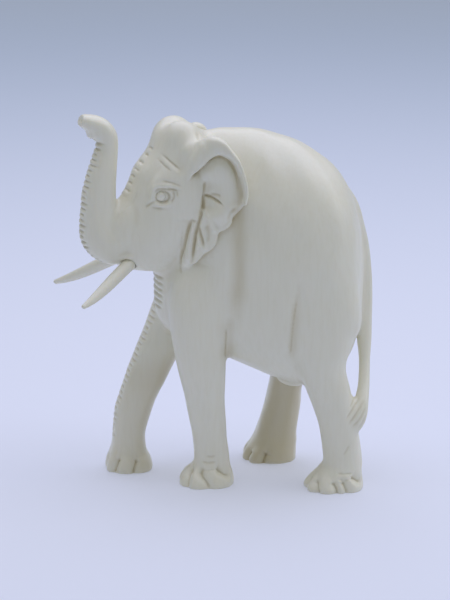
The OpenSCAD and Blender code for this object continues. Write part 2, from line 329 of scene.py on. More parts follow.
# Cheek: a flat panel that runs back from the eye and ends in an edge over the ear's hollow
cheek = {
    # z, front x, rear x, how far it stands out
    "rows": [(94.2, -27, -14.4, 15.2), (94.5, -28, -13.4, 15.8), (98, -29, -11.9, 16.3), (103, -29, -11.3, 16.6),
             (107, -28, -11.6, 16.4), (108.6, -27, -13.0, 16.0), (110.4, -26, -15, 14.8), (112, -25, -17, 13.4)],
    "inner": 4.0, "squareness": 9.0,
}


def cheekShell(side):
    rows = flowing(cheek["rows"], 60)
    c, s = roundedSquare(fullTurn(64), cheek["squareness"])
    z, front, rear, out = [column[:, None] for column in rows.T]
    x = (front + rear) / 2 + (rear - front) / 2 * c
    half = (out - cheek["inner"]) / 2
    slant = np.clip((x + 18) / -10, 0, 1) * 5.0               # the panel falls back with the face in front
    y = cheek["inner"] + half * (1 + s) - slant * (s > 0) * s
    return closedShell(np.stack([x, side * y, z + 0 * c], -1))


# Tail: round sections carried down from the rump to the tuft against the left hind leg
tail = {
    # x, y, z, radius along the body, radius across
    "rows": [(36, 0, 106, 1, 1.6), (40.5, 0, 101.5, 1.4, 2.0), (44.2, 0, 94, 1.8, 2.2), (46.8, 0, 84, 2.0, 2.2),
             (47.9, -0.8, 74, 2.3, 2.3), (47.7, -2.4, 64, 2.8, 2.4), (47.4, -4.2, 55, 3.0, 2.5),
             (47.4, -6.2, 49, 2.6, 2.3), (47.3, -8.8, 43.5, 2.0, 2.0), (46.9, -12, 38.5, 1.9, 1.9),
             (46.2, -15.2, 34, 2.1, 2.1), (45.0, -18, 30.5, 2.8, 2.3), (43.0, -20, 27, 4.3, 2.5),
             (42.2, -20.9, 24, 4.2, 2.2), (42.6, -21.1, 21.8, 2.6, 1.6), (43.8, -21, 20.4, 0.6, 0.8)],
}


def tailShell():
    rows = flowing(tail["rows"], 110)
    angle = fullTurn(36)
    x, y, z, rx, ry = [column[:, None] for column in rows.T]
    return closedShell(np.stack([x + rx * np.cos(angle), y + ry * np.sin(angle), z + 0 * angle], -1))


trunkLip = {"centre": (-45.9, 0.0, 122.0), "radii": (2.3, 3.1, 1.7)}
nostrils = {"at": (-50.9, 1.15, 127.2), "radius": 0.75, "depth": 1.3}
sheath = {"centre": (24.0, 0.0, 35.6), "radii": (6.6, 3.0, 4.6)}


def carvedShells():
    head = [skullShell(), trunkShell(), eggShell(**trunkLip), eggShell(**skull["bridge"])]
    for side in (-1, 1):
        x, y, z = skull["domes"]["centre"]
        head.append(eggShell((x, side * y, z), skull["domes"]["radii"]))
        head.append(cheekShell(side))
        x, y, z = skull["shoulders"]["centre"]
        head.append(eggShell((x, side * y, z), skull["shoulders"]["radii"]))
    head += [earShell(ear["near"]), earShell(ear["far"])]
    head = [(onNeck(points), faces) for points, faces in head]
    body = [barrelShell(), tailShell(), eggShell(**sheath)]
    body += [legShell(name) for name in ("leftFront", "rightFront", "leftHind", "rightHind")]
    return joined(body + head)


def fusedBlock():
    # the overlapping shells become one skin on an even grid
    rough = pieceOf("roughBlock", *carvedShells())
    fuse = rough.modifiers.new("fuse", "REMESH")
    fuse.mode = "VOXEL"
    fuse.voxel_size = figure["voxel"]
    result = bpy.data.meshes.new_from_object(rough.evaluated_get(bpy.context.evaluated_depsgraph_get()))
    bpy.data.objects.remove(rough)
    points = np.empty(len(result.vertices) * 3, np.float32)
    result.vertices.foreach_get("co", points)
    corners = np.empty(len(result.loops), np.int32)
    result.loops.foreach_get("vertex_index", corners)
    edges = np.empty(len(result.edges) * 2, np.int32)
    result.edges.foreach_get("vertices", edges)
    allQuads = len(result.loops) == 4 * len(result.polygons)
    print("stage: block fused,", len(result.polygons), "faces, all quads:", allQuads)
    bpy.data.meshes.remove(result)
    return points.reshape(-1, 3).astype(float), corners.reshape(-1, 4), edges.reshape(-1, 2)


block, quads, edges = fusedBlock()


def outward(points):
    # area-weighted normals of a quad skin
    a, b, c, d = points[quads].transpose(1, 0, 2)
    face = np.cross(c - a, d - b)
    normal = np.stack([sum(np.bincount(quads[:, k], face[:, j], len(points)) for k in range(4))
                       for j in range(3)], -1)
    return normal / np.maximum(np.linalg.norm(normal, axis=1), 1e-12)[:, None]


here, there = np.concatenate([edges[:, 0], edges[:, 1]]), np.concatenate([edges[:, 1], edges[:, 0]])
links = np.bincount(here, minlength=len(block)).astype(float)


def neighbourMean(values):
    if values.ndim == 1:
        return np.bincount(here, values[there], len(values)) / links
    return np.stack([neighbourMean(column) for column in values.T], -1)


def eased(points, weight, rounds):
    # each round moves every point towards the mean of its neighbours by its weight; still points are left out
    active = weight > 0.002
    slot = np.cumsum(active) - 1
    pair = active[here]
    start, end, share = slot[here[pair]], there[pair], weight[active][:, None]
    points, count = points.copy(), links[active][:, None]
    for _ in range(rounds):
        mean = np.stack([np.bincount(start, points[end, k], len(count)) for k in range(points.shape[1])], -1) / count
        points[active] += share * (mean - points[active])
    return points


def hollowness(points, rounds):
    # how far the skin near a point stands out past it: positive in creases, negative on edges
    spread = eased(points, np.ones(len(points)), rounds)
    return np.einsum("ij,ij->i", spread - points, outward(points))


easing = {"creaseRounds": 24, "blendRounds": 110, "polishRounds": 3, "crownRounds": 90, "flankRounds": 260}


def headPlaces(points):
    # along, across and up, with the head turned back straight
    head = offNeck(points)
    return head[:, 0], np.abs(head[:, 1]), head[:, 2]


def easeJunctions(points):
    # creases between the fused masses are found by their hollowness, and only those are smoothed
    points = eased(points, np.full(len(points), 0.5), easing["polishRounds"])
    crease = np.clip(hollowness(points, 3) / (0.12 * figure["voxel"]), 0, 1)
    for _ in range(easing["creaseRounds"]):
        crease = np.maximum(crease, 0.98 * neighbourMean(crease))
    x, across, z = headPlaces(points)
    sharp = soft(-26, -20, x) * soft(4, 0, x) * soft(76, 79, z) * soft(124, 120, z) * soft(11, 13.5, across)
    tailArea = soft(43, 45, points[:, 0]) * soft(3, 1.5, np.abs(points[:, 1])) * soft(60, 66, points[:, 2])
    weight = crease * (1 - 0.93 * sharp) * (1 - 0.8 * tailArea)
    points = eased(points, 0.6 * weight, easing["blendRounds"])
    # x, across and z still tell where a point was before the junctions were smoothed
    crown = soft(107, 111, z) * soft(13.5, 10.5, across) * soft(-34, -28, x) * soft(-1, -5, x)
    temple = soft(102, 106, z) * soft(118, 114, z) * soft(-16.5, -18.5, x) * soft(-28, -25, x)
    points = eased(points, 0.6 * np.maximum(crown, temple), easing["crownRounds"])
    underEar = soft(75, 78, z) * soft(0, -3, x)
    x, across, z = points[:, 0], np.abs(points[:, 1]), points[:, 2]
    shoulder = soft(-16, -10, x) * soft(16, 8, x) * soft(46, 56, z) * soft(88, 76, z)
    shoulder *= soft(8, 12, across) * (1 - underEar)
    thigh = soft(10, 16, x) * soft(44, 40, x) * soft(46, 56, z) * soft(96, 86, z) * soft(8, 12, across)
    return eased(points, 0.7 * np.maximum(shoulder, thigh), easing["flankRounds"])


block = easeJunctions(block)
print("stage: junctions eased")


# Carved marks: smooth strokes pressed into the skin or raised from it
# each entry is depth, width and the stroke's places; a negative depth raises a ridge
faceMarks = [
    # x, z on the head; upper lid, its rear fork, tear line and lower lid
    (0.7, 0.4, [(-28.2, 103.0), (-27.0, 104.4), (-24.0, 104.6), (-20.4, 104.2)]),
    (0.65, 0.36, [(-22.8, 104.3), (-22.2, 102.8), (-22.4, 101.4), (-23.2, 99.8)]),
    (0.4, 0.3, [(-21.6, 104.2), (-21.2, 103.2), (-21.3, 102.2)]),
    (0.45, 0.4, [(-27.6, 100.7), (-29.3, 99.3), (-30.8, 98.0)]),
    (0.25, 0.35, [(-29.6, 98.6), (-27.4, 98.0), (-25.2, 98.1)]),
    (-0.35, 0.6, [(-28.8, 104.0), (-27.2, 105.6), (-24.0, 105.8), (-20.4, 105.2)]),
    (-0.25, 0.5, [(-28.4, 99.6), (-26.4, 98.9), (-23.8, 99.2)]),
    (0.3, 0.4, [(-25.9, 107.4), (-22.6, 106.6), (-19.4, 105.4)]),
    # brow
    (0.42, 0.3, [(-24.4, 115.4), (-22.2, 113.2), (-20.0, 111.1)]),
    (0.36, 0.3, [(-25.6, 113.6), (-24.2, 112.1), (-22.6, 110.4)]),
    (0.35, 0.3, [(-27.0, 117.8), (-25.4, 116.4)]),
    (-0.3, 0.9, [(-24.2, 113.4), (-22.0, 111.0), (-20.2, 109.2)]),
    # soft ridge down the face and the hollow before the cheek
    (-0.3, 1.6, [(-35.8, 101.0), (-36.4, 92.0), (-37.4, 84.0)]),
    (0.2, 1.8, [(-33.0, 104.0), (-33.0, 97.0), (-32.6, 90.0)]),
    # lip over the tusk
    (0.3, 0.4, [(-41.4, 77.8), (-39.2, 78.9), (-37.0, 79.8), (-34.6, 79.8)]),
    (-0.6, 0.9, [(-42.0, 79.2), (-39.2, 80.3), (-36.6, 81.1), (-34.2, 80.9)]),
    # dimple between the dome and the top of the ear
    (0.25, 0.9, [(-12.2, 122.4), (-12.5, 120.4), (-12.3, 118.6)]),
    # line under the ear
    (0.22, 0.3, [(-18.9, 92.0), (-19.2, 84.0), (-19.0, 76.0), (-18.6, 67.0)]),
]

earMarks = [
    # line cut along the inside of the rolled rim
    (0.36, 0.42, [(-18.0, 106.9), (-15.8, 109.0), (-13.6, 111.4), (-11.4, 113.8), (-8.6, 115.5),
                  (-5.9, 114.8), (-4.0, 112.4), (-2.8, 109.0), (-2.3, 105.2)]),
    # under the cheek's lower edge
    (0.4, 0.35, [(-16.6, 93.9), (-15.2, 93.7), (-13.8, 93.9)]),
    # deep crease behind the cheek and its branch into the hollow
    (0.5, 0.36, [(-12.0, 106.8), (-12.1, 104.2), (-12.3, 101.6)]),
    (0.95, 0.48, [(-12.2, 103.4), (-12.4, 100.4), (-12.5, 99.0), (-12.9, 97.4)]),
    (1.0, 0.45, [(-12.5, 102.4), (-10.8, 102.0), (-9.4, 101.3), (-7.2, 99.5)]),
    (0.4, 0.4, [(-10.6, 102.6), (-8.8, 102.9), (-7.6, 102.4)]),
    # long folds of the lower lobe
    (1.15, 0.5, [(-12.9, 98.2), (-13.8, 95.4), (-14.8, 90.9), (-15.7, 85.1), (-16.2, 79.6)]),
    (0.7, 0.42, [(-16.2, 94.6), (-17.3, 90.5), (-18.2, 86.0), (-18.8, 82.0), (-19.0, 78.4)]),
    (-0.5, 0.6, [(-15.3, 94.0), (-16.3, 89.0), (-17.2, 82.0), (-17.4, 79.0)]),
    (0.8, 0.4, [(-14.3, 92.6), (-13.9, 90.0), (-13.2, 87.4), (-12.7, 84.8)]),
    (-0.6, 0.5, [(-14.7, 89.8), (-14.3, 87.0), (-13.9, 84.0)]),
    (-0.75, 0.7, [(-12.2, 96.4), (-11.0, 94.0), (-9.9, 91.6), (-8.6, 89.8)]),
    (0.45, 0.8, [(-12.2, 93.0), (-11.4, 89.6), (-11.6, 86.0)]),
    (-0.4, 0.5, [(-8.6, 89.4), (-9.6, 86.0), (-11.6, 83.0), (-14.6, 80.0), (-16.6, 78.6)]),
    # hem of the rim and of the scallops
    (-0.35, 0.5, [(-0.9, 104.0), (-1.2, 100.4), (-2.8, 98.0), (-4.4, 96.2)]),
    (0.3, 0.7, [(-3.2, 98.8), (-5.0, 97.0), (-5.8, 94.4)]),
    (-0.35, 0.5, [(-4.9, 94.4), (-5.8, 92.2), (-7.8, 90.4)]),
]

flankMarks = [
    # x, z on the left side of the body: shoulder hollow, flank crease and the crease behind the front leg
    (0.7, 3.4, [(4.4, 102.0), (3.6, 84.0), (3.0, 62.0)]),
    (0.5, 0.36, [(22.9, 72.0), (22.0, 65.0), (21.3, 60.0), (20.7, 52.0), (20.3, 45.5)]),
    (0.4, 2.2, [(23.4, 78.0), (22.4, 62.0), (21.2, 44.0)]),
    (0.5, 0.42, [(-0.9, 58.0), (-0.8, 51.0), (-0.6, 43.5)]),
    (0.4, 1.8, [(0.4, 62.0), (0.6, 52.0), (0.8, 43.0)]),
    # nick above the hind ankle
    (0.22, 0.35, [(38.4, 12.8), (39.6, 14.8), (40.6, 16.6)]),
]

tuftMarks = [
    (0.3, 0.32, [(46.2, 31.6), (43.2, 27.4), (40.2, 23.6)]),
    (0.32, 0.32, [(46.8, 29.6), (44.2, 25.6), (41.4, 22.4)]),
    (0.26, 0.3, [(44.4, 32.0), (41.6, 28.4), (39.2, 25.6)]),
    (0.28, 0.3, [(46.8, 27.0), (45.2, 24.2), (43.4, 21.6)]),
    (0.2, 0.3, [(43.2, 32.0), (40.8, 29.4)]),
]

# degrees round the foot from its front towards the outside, height over the sole
toeMarks = {
    "outside": [[(64, 6.8), (80, 3.8), (98, -0.6)], [(112, 7.0), (130, 5.4), (152, 3.4)],
                [(26, 6.6), (36, 3.6), (46, -0.6)], [(-14, 6.2), (-9, 3), (-2, -0.6)],
                [(-62, 6), (-56, 3), (-48, -0.6)], [(-112, 5.4), (-106, 3), (-98, -0.6)]],
    "hind": [[(36, 4.8), (46, 2), (53, -0.6)], [(80, 4.6), (90, 1.8), (95, -0.6)],
             [(104, 4.8), (112, 2.2), (118, -0.6)], [(126, 5.8), (142, 4.2), (156, 2.6)],
             [(4, 5), (9, 2.2), (14, -0.6)], [(-38, 4.8), (-31, 2), (-26, -0.6)], [(-82, 4.6), (-75, 2), (-70, -0.6)]],
}
ankleRings = {      # height, from and to degrees
    "outside": [(8.9, 68, 118), (6.5, 64, 118), (11.0, 86, 116)],
    "hind": [(6.9, 92, 138), (5.0, 90, 138)],
}
feet = {
    # middle of the sole, radius, side the toes face, kind of toes
    "leftFront": (-7.1, -9.4, 9.0, -1, "outside"), "rightFront": (-33.2, 9.0, 8.3, 1, "outside"),
    "leftHind": (36.0, -17.8, 9.5, -1, "hind"), "rightHind": (16.8, 17.6, 9.1, 1, "hind"),
}


def strokeDepth(u, v, mark):
    # bell-shaped across the stroke, fading out along its last part at both ends
    depth, width, places = mark
    line = flowing(places, 8 * len(places) + 24)
    near = (u > line[:, 0].min() - 3 * width) & (u < line[:, 0].max() + 3 * width)
    near &= (v > line[:, 1].min() - 3 * width) & (v < line[:, 1].max() + 3 * width)
    result = np.zeros(len(u))
    chosen = np.nonzero(near)[0]
    if len(chosen) == 0:
        return result
    away = (u[chosen, None] - line[None, :, 0]) ** 2 + (v[chosen, None] - line[None, :, 1]) ** 2
    nearest = away.argmin(1)
    along = nearest / (len(line) - 1)
    fade = soft(0, 0.22, along) * soft(1.0, 0.78, along) * 0.75 + 0.25
    result[chosen] = depth * fade * np.exp(-away[np.arange(len(chosen)), nearest] / width**2)
    return result


def marksDepth(u, v, marks):
    pressed, raised = np.zeros(len(u)), np.zeros(len(u))
    for mark in marks:
        if mark[0] > 0:
            pressed = np.maximum(pressed, strokeDepth(u, v, mark))
        else:
            raised = np.minimum(raised, strokeDepth(u, v, mark))
    return pressed + raised


eyes = {"at": (-25.5, -11.0, 101.9), "facing": (-0.5, -0.86, 0.05), "diameter": 3.8, "peg": 2.0,
        "pegLength": 5.0, "gap": 0.03}

trunkNotches = {"from": 2.0, "to": 80.0, "lowest": 77.6, "highest": 120.5,
                "pitch": 1.9, "depth": 0.7, "width": 0.4, "reach": 3.3}
foreheadNotches = {"from": 100.5, "to": 117.5, "pitch": 2.3, "depth": 0.6, "width": 0.42, "reach": 3.4}
throatNotches = {"levels": [72.5, 70.4, 68.3, 66.2, 64.0, 61.8], "lengths": [5.2, 4.8, 3.2, 2.6, 2.2, 1.8],
                 "depth": 0.6, "width": 0.45}
legNotches = {"from": 11.0, "to": 66.0, "pitch": 1.9, "depth": 0.55, "width": 0.45, "reach": 3.0}


def notchDepth(along, across, marks):
    # evenly spaced short cuts along a ridge, each fading towards its sides
    phase = (along - marks["from"]) / marks["pitch"]
    gap = np.abs(phase - np.round(phase)) * marks["pitch"]
    wave = 0.8 + 0.2 * np.sin(1.7 * np.round(phase) + 0.6)
    inside = soft(marks["from"] - 0.4, marks["from"] + 1.5, along) * soft(marks["to"] + 0.4, marks["to"] - 1.5, along)
    side = np.exp(-((np.abs(across) / (marks["reach"] * wave)) ** 4))
    return marks["depth"] * inside * side * np.exp(-((gap / marks["width"]) ** 2))


def trunkDepth(head):
    rows, along = trunkLine(400)
    middle = rows[:, :2]
    ridge = middle + rows[:, 2:3] * np.stack([-along[:, 1], along[:, 0]], -1)      # the outer side of the bend
    travelled = np.concatenate([[0], np.cumsum(np.linalg.norm(np.diff(ridge, axis=0), axis=1))])
    result = np.zeros(len(head))
    chosen = np.nonzero((head[:, 0] < -36) & (np.abs(head[:, 1]) < 9) & (head[:, 2] > 74))[0]
    away = ((head[chosen][:, None, [0, 2]] - middle[None]) ** 2).sum(2)
    nearest = away.argmin(1)
    offset = head[chosen][:, [0, 2]] - middle[nearest]
    lean, rise = along[nearest, 0], along[nearest, 1]
    front = -offset[:, 0] * rise + offset[:, 1] * lean        # positive towards the trunk's outer side
    thick = rows[nearest, 2]
    outer = soft(0.35, 0.62, front / thick)
    across = head[chosen][:, 1] * 0.9
    height = head[chosen][:, 2]
    outer *= soft(trunkNotches["lowest"] - 1, trunkNotches["lowest"] + 1, height)
    outer *= soft(trunkNotches["highest"] + 1, trunkNotches["highest"] - 1, height)
    result[chosen] = outer * notchDepth(travelled[nearest], across, trunkNotches)
    return result


def nostrilDepth(head):
    x, y, z = nostrils["at"]
    away = np.sqrt((head[:, 0] - x) ** 2 + (np.abs(head[:, 1]) - y) ** 2 + (head[:, 2] - z) ** 2)
    return nostrils["depth"] * np.exp(-((away / nostrils["radius"]) ** 2))


def unevenness(points):
    # the slight waviness that the knife and the sandpaper leave
    x, y, z = points.T
    return 0.05 * (np.sin(0.55 * x + 0.31 * z) + np.sin(0.43 * z - 0.62 * y + 1.0)
                   + np.sin(0.83 * y + 0.47 * x - 0.26 * z + 2.0))


def foreheadDepth(head, normal):
    forward = soft(0.1, 0.45, -normal[:, 0]) * (head[:, 0] < -22) * (head[:, 0] > -40)
    return forward * notchDepth(head[:, 2] + 0.12 * np.abs(head[:, 1]), head[:, 1], foreheadNotches)


def throatDepth(points):
    result = np.zeros(len(points))
    throat = soft(-17.5, -20.5, points[:, 0]) * (points[:, 0] > -28) * soft(8.5, 6.0, np.abs(points[:, 1] + 1.5))
    for level, length in zip(throatNotches["levels"], throatNotches["lengths"]):
        back = points[:, 0] + 24.4
        sag = 0.10 * np.maximum(back, 0)
        line = np.exp(-(((points[:, 2] - level + sag) / throatNotches["width"]) ** 2))
        result = np.maximum(result, line * soft(length + 1, length - 1, back))
    return throatNotches["depth"] * result * throat


def farLegDepth(points, normal):
    forward = soft(0.3, 0.75, -normal[:, 0]) * (points[:, 1] > 1) * (points[:, 0] < -12)
    across = points[:, 1] - 8.0
    return forward * notchDepth(points[:, 2], across, legNotches)


def footDepth(points, foot):
    x, y, radius, side, kind = foot
    level = points[:, 2]
    degrees = np.degrees(np.arctan2(side * (points[:, 1] - y), -(points[:, 0] - x)))
    result = np.zeros(len(points))
    chosen = np.nonzero((level < 14) & (np.hypot(points[:, 0] - x, points[:, 1] - y) < 14))[0]
    perDegree = radius * np.pi / 180
    arc, z = degrees[chosen] * perDegree, level[chosen]
    cuts = [[(a * perDegree, h) for a, h in places] for places in toeMarks[kind]]
    sharp = [(0.5, 0.4, places) for places in cuts]
    wide = [(1.3, 1.6, places) for places in cuts]
    rings = [(0.32, 0.34, [(a * perDegree, h), ((a + b) / 2 * perDegree, h - 0.3), (b * perDegree, h)])
             for h, a, b in ankleRings[kind]]
    depth = marksDepth(arc, z, sharp) + marksDepth(arc, z, wide) + marksDepth(arc, z, rings)
    lobes = 0.12 * soft(6.0, 3.5, z)
    result[chosen] = depth - lobes
    return result


def eyeDepth(head):
    # a round groove at the eyeball's edge inside a low raised socket
    x, y, z = eyes["at"]
    around = np.hypot(head[:, 0] - x, head[:, 2] - z)
    near = (around < 6) & (np.abs(head[:, 1]) > 6)
    radius = eyes["diameter"] / 2
    groove = 0.6 * np.exp(-(((around - radius - 0.15) / 0.45) ** 2)) + 0.5 * (around < radius)
    return near * (groove - 0.2 * np.exp(-(((around - radius - 1.3) / 0.6) ** 2)))


def carve(points):
    normal = outward(points)
    neck = np.array(figure["neck"])
    head, headNormal = offNeck(points), offNeck(normal + neck) - neck
    sideways = soft(0.15, 0.5, np.abs(headNormal[:, 1])) * (np.abs(head[:, 1]) > 6)
    sideways *= headNormal[:, 1] * head[:, 1] > 0
    onHead = soft(74, 76, head[:, 2]) * (head[:, 0] < 2)
    depth = sideways * onHead * marksDepth(head[:, 0], head[:, 2], faceMarks)
    shift = np.where(head[:, 1] > 0, 1.0, 0.0)[:, None] * np.array(ear["far"]["shift"])
    depth += sideways * onHead * marksDepth(head[:, 0] - shift[:, 0], head[:, 2] - shift[:, 1], earMarks)
    depth += sideways * onHead * eyeDepth(head)
    depth += trunkDepth(head) + foreheadDepth(head, headNormal)
    depth += throatDepth(points) + farLegDepth(points, normal)
    flank = soft(0.3, 0.6, np.abs(normal[:, 1])) * (normal[:, 1] * points[:, 1] > 0)
    depth += flank * (points[:, 0] > -2.5) * marksDepth(points[:, 0], points[:, 2], flankMarks)
    leftOuter = (points[:, 1] < -14) * soft(0.3, -0.1, normal[:, 1])
    depth += leftOuter * marksDepth(points[:, 0], points[:, 2], tuftMarks)
    depth += nostrilDepth(head) + unevenness(points) * soft(2, 6, points[:, 2])
    moved = points - normal * depth[:, None]
    for foot in feet.values():
        # near the ground a toe's cut goes level towards the middle of the foot, higher up it follows the skin
        x, y, radius = foot[:3]
        away = np.stack([points[:, 0] - x, points[:, 1] - y, 0 * points[:, 2]], -1)
        reach = np.linalg.norm(away, axis=1)
        level = soft(4.5, 2.0, points[:, 2])
        toward = (1 - level)[:, None] * normal + level[:, None] * away / np.maximum(reach, 1)[:, None]
        edge = 1 - level + level * soft(0.45, 0.95, reach / radius)
        moved -= toward * (edge * footDepth(points, foot))[:, None]
    moved[:, 2] = np.maximum(moved[:, 2], 0)
    return moved


block = carve(block)
print("stage: marks carved")


shadeStrokes = [
    # painted shade without a cut, where those hollows fall into shade: behind the ear, along the flank crease
    (0.42, 2.6, [(2.5, 102.0), (3.2, 90.0), (3.4, 76.0), (2.2, 58.0)]),
    (0.6, 0.45, [(22.5, 69.0), (21.3, 60.0), (20.7, 52.0), (20.5, 48.0)]),
    (0.25, 1.6, [(22.0, 66.0), (20.8, 45.0)]),
    (0.22, 3.0, [(-1.0, 60.0), (-1.0, 44.0)]),
]


def paintedCreaseShade(points):
    # painted shade: 0 on open skin, 1 deep in a crease where shade falls: fine hollows and broad ones together
    fine = np.clip(hollowness(points, 4) / 0.17, 0, 1)
    broad = np.clip(hollowness(points, 40) / 0.6, 0, 1) * soft(6, 18, points[:, 2])
    normal = outward(points)
    side = np.where(points[:, 1] > 0, 1.0, -1.0)
    # painted warm shade on the legs' inner faces and the underside, for light bounced off the carving itself
    innerFacing = soft(0.1, -0.7, normal[:, 1] * side) * soft(46, 34, points[:, 2]) * soft(0.9, 0.3, np.abs(normal[:, 2]))
    bouncedWarmShade = soft(-60, 0, points[:, 0]) * innerFacing
    # the painted shade strokes land on the body's outer sides only
    outer = soft(0.3, 0.7, normal[:, 1] * side)
    paintedShade = 0.6 * fine + 0.4 * broad + 0.62 * bouncedWarmShade + outer * marksDepth(points[:, 0], points[:, 2], shadeStrokes)
    return eased(np.clip(paintedShade, 0, 1)[:, None], np.full(len(points), 0.6), 2)[:, 0]


def finished(points, name):
    piece = pieceOf(name, (points + figure["centre"]) * mm, quads)
    # the crease layer carries painted shade: in creases, on the legs' inner faces and along the flank strokes
    layer = piece.data.attributes.new("crease", "FLOAT", "POINT")
    layer.data.foreach_set("value", paintedCreaseShade(points).astype(np.float32))
    return piece


body = finished(block, "carvedElephant")
lighter = body.modifiers.new("lighter", "DECIMATE")
lighter.ratio = min(1.0, figure["trianglesKept"] / (2 * len(quads)))
whole = bpy.data.meshes.new_from_object(body.evaluated_get(bpy.context.evaluated_depsgraph_get()))
body.modifiers.clear()
body.data = whole
print("stage: skin lightened to", len(whole.polygons), "faces")


def acrossFrame(facing):
    # two directions square to facing
    facing = np.array(facing, float) / np.linalg.norm(facing)
    first = np.cross(facing, (0.0, 0.0, 1.0))
    first /= np.linalg.norm(first)
    return facing, first, np.cross(first, facing)


def latheShell(profile, at, facing, sides=64, bow=None):
    # circles of the profile's radii strung along the facing direction; bow bends the line sideways
    facing, first, second = acrossFrame(facing)
    height, radius = np.array(profile, float).T
    angle = fullTurn(sides)[None, :, None]
    line = np.array(at) + height[:, None] * facing
    if bow is not None:
        line = line + np.array(bow(height))[:, None] * second
    return closedShell(line[:, None] + radius[:, None, None] * (np.cos(angle) * first + np.sin(angle) * second))


tusks = {
    "root": (-36.0, -6.7, 77.9), "facing": (-0.769, -0.489, -0.410),
    "length": 25.0, "radius": 2.2, "tipRadius": 0.85, "fullness": 2.8, "bow": 0.55,
    "tenonRadius": 1.55, "tenonLength": 8.0, "pocketDepth": 1.6, "pocketGap": 0.03, "tenonGap": 0.06,
}


def tuskRadius(share):
    return tusks["tipRadius"] + (tusks["radius"] - tusks["tipRadius"]) * (1 - share ** tusks["fullness"])


def tuskBow(height):
    # straight at the root, then sideways by share squared times what is left; 6.75 brings its greatest value to 1
    share = np.clip(height / tusks["length"], 0, 1)
    return -6.75 * tusks["bow"] * share**2 * (1 - share)


def tuskShell():
    start, end = -tusks["pocketDepth"] + 0.3, tusks["length"] - tusks["tipRadius"]
    share = np.linspace(0, 1, 70)
    tenon = [(-tusks["tenonLength"], tusks["tenonRadius"] - 0.25),
             (-tusks["tenonLength"] + 0.25, tusks["tenonRadius"]),
             (start - 0.02, tusks["tenonRadius"]), (start, tusks["radius"] - 0.12)]
    blade = np.stack([start + 0.12 + share * (end - start - 0.12), tuskRadius(share)], -1)
    turn = np.linspace(0, np.pi / 2, 14)[1:-1]
    tip = np.stack([end + tusks["tipRadius"] * np.sin(turn), tusks["tipRadius"] * np.cos(turn)], -1)
    return latheShell(np.vstack([tenon, blade, tip]), tusks["root"], tusks["facing"], 72, tuskBow)


def eyeShell():
    radius, turn = eyes["diameter"] / 2, np.linspace(0, np.pi, 60)[1:-1]
    peg = eyes["peg"] / 2
    ball = np.stack([-radius * np.cos(turn), radius * np.sin(turn)], -1)
    ball = ball[(ball[:, 1] > peg) | (ball[:, 0] > 0)]
    stem = [(-eyes["pegLength"], peg - 0.15), (-eyes["pegLength"] + 0.15, peg),
            (-np.sqrt(radius**2 - peg**2) - 0.01, peg)]
    return latheShell(np.vstack([stem, ball]), eyes["at"], eyes["facing"])


def tuskSocket():
    tenon, pocket = tusks["tenonRadius"] + tusks["tenonGap"], tusks["radius"] + tusks["pocketGap"]
    deep, shallow = -tusks["tenonLength"] - 0.3, -tusks["pocketDepth"]
    profile = [(deep, tenon), (shallow, tenon), (shallow + 0.01, pocket), (5.0, pocket)]
    return latheShell(profile, tusks["root"], tusks["facing"])


def eyeSocket():
    radius, turn = eyes["diameter"] / 2 + eyes["gap"], np.linspace(0, np.pi, 40)[1:-1]
    peg = eyes["peg"] / 2 + eyes["gap"]
    ball = np.stack([-radius * np.cos(turn), radius * np.sin(turn)], -1)
    ball = ball[(ball[:, 1] > peg) | (ball[:, 0] > 0)]
    stem = [(-eyes["pegLength"] - 0.1, peg), (-np.sqrt(radius**2 - peg**2), peg)]
    return latheShell(np.vstack([stem, ball]), eyes["at"], eyes["facing"], 56)


def onSide(shell, side):
    # a shape made for the left of the head, or its mirror image on the right
    points, faces = shell
    if side > 0:
        points, faces = points * (1, -1, 1), faces[:, ::-1]
    return (onNeck(points) + figure["centre"]) * mm, faces


holes = [onSide(shell(), side) for shell in (tuskSocket, eyeSocket) for side in (-1, 1)]
sockets = pieceOf("sockets", *joined(holes))
drill = body.modifiers.new("drill", "BOOLEAN")
drill.solver = "MANIFOLD"
drill.object = sockets
whole = bpy.data.meshes.new_from_object(body.evaluated_get(bpy.context.evaluated_depsgraph_get()))
body.modifiers.clear()
body.data = whole
bpy.data.objects.remove(sockets)
print("stage: sockets drilled,", len(whole.polygons), "faces")

insets = []
for side, word in ((-1, "left"), (1, "right")):
    tusk = pieceOf(word + "Tusk", *onSide(tuskShell(), side))
    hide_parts(word + "_tusk")
    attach(tusk, word + "_tusk")
    eye = pieceOf(word + "Eye", *onSide(eyeShell(), side))
    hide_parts(word + "_eye")
    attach(eye, "carving")
    insets += [tusk, eye]
print("stage: tusks and eyes made")
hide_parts("carved_body")
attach(body, "carving")


# Wood: pale, fine-grained, with painted warm shade in the creases
wood = {
    "light": (0.82, 0.80, 0.67), "creaseShadeColour": (0.47, 0.38, 0.18), "grain": (0.765, 0.735, 0.585),
    "roughness": 0.35, "specular": 0.85, "fibreScale": 900.0, "fibreStretch": 0.12, "cloudScale": 38.0,
    "fibreShare": 0.5, "cloudShare": 0.4, "creaseShadeShare": 0.75, "bump": 0.12, "bumpDepth": 0.0002,
    "glow": 0.12, "glowColours": (1.0, 0.75, 0.45), "glowDepth": 0.0012,      # light carried under the surface
}


def noiseOf(tree, scale, detail, place):
    noise = tree.nodes.new("ShaderNodeTexNoise")
    noise.inputs["Scale"].default_value = scale
    noise.inputs["Detail"].default_value = detail
    tree.links.new(place, noise.inputs["Vector"])
    return noise


def ranged(tree, value, low, high, least, most):
    # the value's low to high becomes least to most
    node = tree.nodes.new("ShaderNodeMapRange")
    for name, number in (("From Min", low), ("From Max", high), ("To Min", least), ("To Max", most)):
        node.inputs[name].default_value = number
    tree.links.new(value, node.inputs["Value"])
    return node.outputs["Result"]


